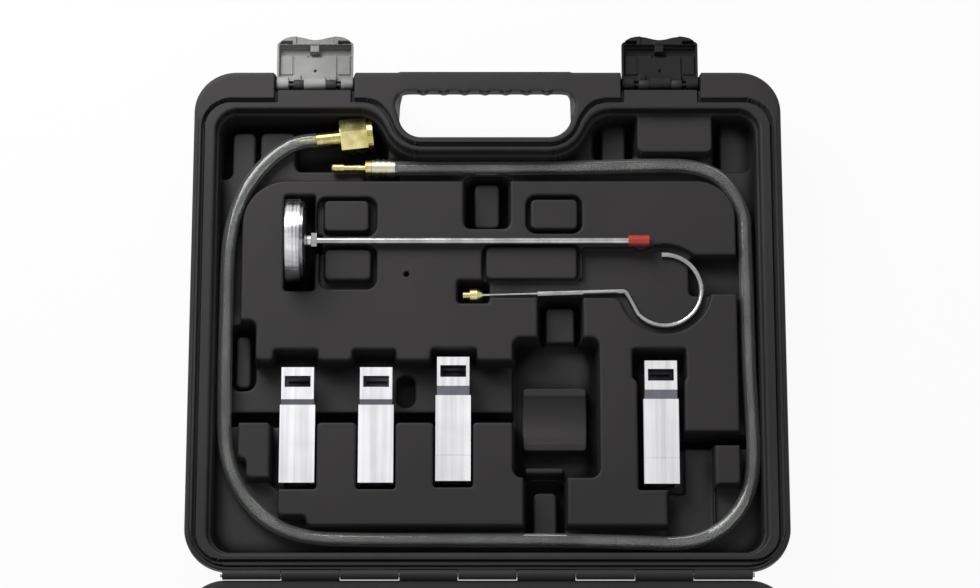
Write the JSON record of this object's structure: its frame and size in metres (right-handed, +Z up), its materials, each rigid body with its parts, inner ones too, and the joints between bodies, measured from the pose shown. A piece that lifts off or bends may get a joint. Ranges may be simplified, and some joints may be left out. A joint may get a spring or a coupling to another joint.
{
  "type": "radiator pressure tester",
  "caption": "Open carrying case with a moulded tray that holds a clear hose on brass fittings, a dial thermometer, a ring probe and hose pinch clamps.",
  "frame": {"origin": "middle of the bottom of the open case, its latches included, on the surface that it lies on", "axes": "+Z up, +Y from the lid over the hinge towards the handle and latches of the tray, +X to the right as seen from the lid"},
  "size_m": [0.34, 0.6176, 0.0636],
  "materials": {
    "case_plastic": "fine-grained moulded polyethylene with a low sheen",
    "latch_light": "moulded polypropylene",
    "latch_dark": "moulded polypropylene",
    "steel": "bright drawn",
    "stamped_steel": "satin nickel plate",
    "chrome": "polished",
    "brass": "turned, lightly tarnished",
    "clear_hose": "clear flexible tubing",
    "lens": "clear",
    "dial": "matt white with black figures",
    "pointer": "satin red",
    "cap_red": "glossy",
    "seal": "matt"
  },
  "bodies": {
    "tray": {"case_tray": "case_plastic", "hinge_pin": "steel", "latch_pin_left": "steel", "latch_pin_right": "steel"},
    "lid": {"case_lid": "case_plastic"},
    "latch_left": {"latch_left": "latch_light"},
    "latch_right": {"latch_right": "latch_dark"},
    "hose_set": {"hose": "clear_hose", "union_barb": "brass", "union_washer": "seal", "nozzle": "brass", "crimp_ferrule": "brass"},
    "union_nut": {"union_nut": "brass"},
    "thermometer": {"dial_case": "chrome", "dial_bezel": "chrome", "dial_lens": "lens", "dial_face": "dial", "bimetal_coil": "brass", "stem": "chrome"},
    "pointer": {"dial_pointer": "pointer", "pointer_spindle": "steel"},
    "calibration_nut": {"calibration_nut": "chrome"},
    "tip_cap": {"tip_cap": "cap_red"},
    "ring_probe": {"ring_shank": "chrome", "thin_rod": "chrome", "brass_nipple": "brass"},
    "clamp_1": {"clamp_1_lower_jaw": "stamped_steel", "clamp_1_rivet": "steel"},
    "clamp_1_top": {"clamp_1_upper_jaw": "stamped_steel"},
    "clamp_2": {"clamp_2_lower_jaw": "stamped_steel", "clamp_2_rivet": "steel"},
    "clamp_2_top": {"clamp_2_upper_jaw": "stamped_steel"},
    "clamp_3": {"clamp_3_lower_jaw": "stamped_steel", "clamp_3_rivet": "steel"},
    "clamp_3_top": {"clamp_3_upper_jaw": "stamped_steel"},
    "clamp_4": {"clamp_4_lower_jaw": "stamped_steel", "clamp_4_rivet": "steel"},
    "clamp_4_top": {"clamp_4_upper_jaw": "stamped_steel"}
  },
  "joints": [
    {"name": "lid_hinge", "type": "hinge", "parent": "tray", "child": "lid", "pos_m": [0, -0.012, 0.0441], "axis": [-1, 0, 0], "range_deg": [0, 180]},
    {"name": "latch_left_hinge", "type": "hinge", "parent": "tray", "child": "latch_left", "pos_m": [-0.1006, 0.2788, 0.037], "axis": [1, 0, 0], "range_deg": [0, 90]},
    {"name": "latch_right_hinge", "type": "hinge", "parent": "tray", "child": "latch_right", "pos_m": [0.1006, 0.2788, 0.037], "axis": [1, 0, 0], "range_deg": [0, 90]},
    {"name": "hose_lift", "type": "slide", "parent": "tray", "child": "hose_set", "axis": [0, 0, -1], "range_m": [-0.09, 0]},
    {"name": "union_nut_spin", "type": "hinge", "parent": "hose_set", "child": "union_nut", "pos_m": [-0.0996, 0.2473, 0.02955], "axis": [0.9938, 0.1115, 0], "continuous": true},
    {"name": "thermometer_lift", "type": "slide", "parent": "tray", "child": "thermometer", "axis": [0, 0, -1], "range_m": [-0.09, 0]},
    {"name": "pointer_turn", "type": "hinge", "parent": "thermometer", "child": "pointer", "pos_m": [-0.1156, 0.1835, 0.03955], "axis": [1, 0, 0], "range_deg": [-135, 135]},
    {"name": "calibration_turn", "type": "hinge", "parent": "thermometer", "child": "calibration_nut", "pos_m": [-0.1, 0.1835, 0.03955], "axis": [1, 0, 0], "range_deg": [-30, 30]},
    {"name": "tip_cap_pull", "type": "slide", "parent": "thermometer", "child": "tip_cap", "axis": [1, 0, 0], "range_m": [0, 0.016]},
    {"name": "ring_probe_lift", "type": "slide", "parent": "tray", "child": "ring_probe", "axis": [0, 0, -1], "range_m": [-0.09, 0]},
    {"name": "clamp_1_lift", "type": "slide", "parent": "tray", "child": "clamp_1", "axis": [0, 0, -1], "range_m": [-0.09, 0]},
    {"name": "clamp_1_jaw", "type": "hinge", "parent": "clamp_1", "child": "clamp_1_top", "pos_m": [-0.1079, 0.0484, 0.02925], "axis": [-1, 0, 0], "range_deg": [-45, 0]},
    {"name": "clamp_2_lift", "type": "slide", "parent": "tray", "child": "clamp_2", "axis": [0, 0, -1], "range_m": [-0.09, 0]},
    {"name": "clamp_2_jaw", "type": "hinge", "parent": "clamp_2", "child": "clamp_2_top", "pos_m": [-0.0633, 0.0484, 0.02925], "axis": [-1, 0, 0], "range_deg": [-45, 0]},
    {"name": "clamp_3_lift", "type": "slide", "parent": "tray", "child": "clamp_3", "axis": [0, 0, -1], "range_m": [-0.09, 0]},
    {"name": "clamp_3_jaw", "type": "hinge", "parent": "clamp_3", "child": "clamp_3_top", "pos_m": [-0.0195, 0.0494, 0.02925], "axis": [-1, 0, 0], "range_deg": [-45, 0]},
    {"name": "clamp_4_lift", "type": "slide", "parent": "tray", "child": "clamp_4", "axis": [0, 0, -1], "range_m": [-0.09, 0]},
    {"name": "clamp_4_jaw", "type": "hinge", "parent": "clamp_4", "child": "clamp_4_top", "pos_m": [0.0986, 0.0478, 0.02925], "axis": [-1, 0, 0], "range_deg": [-45, 0]}
  ]
}
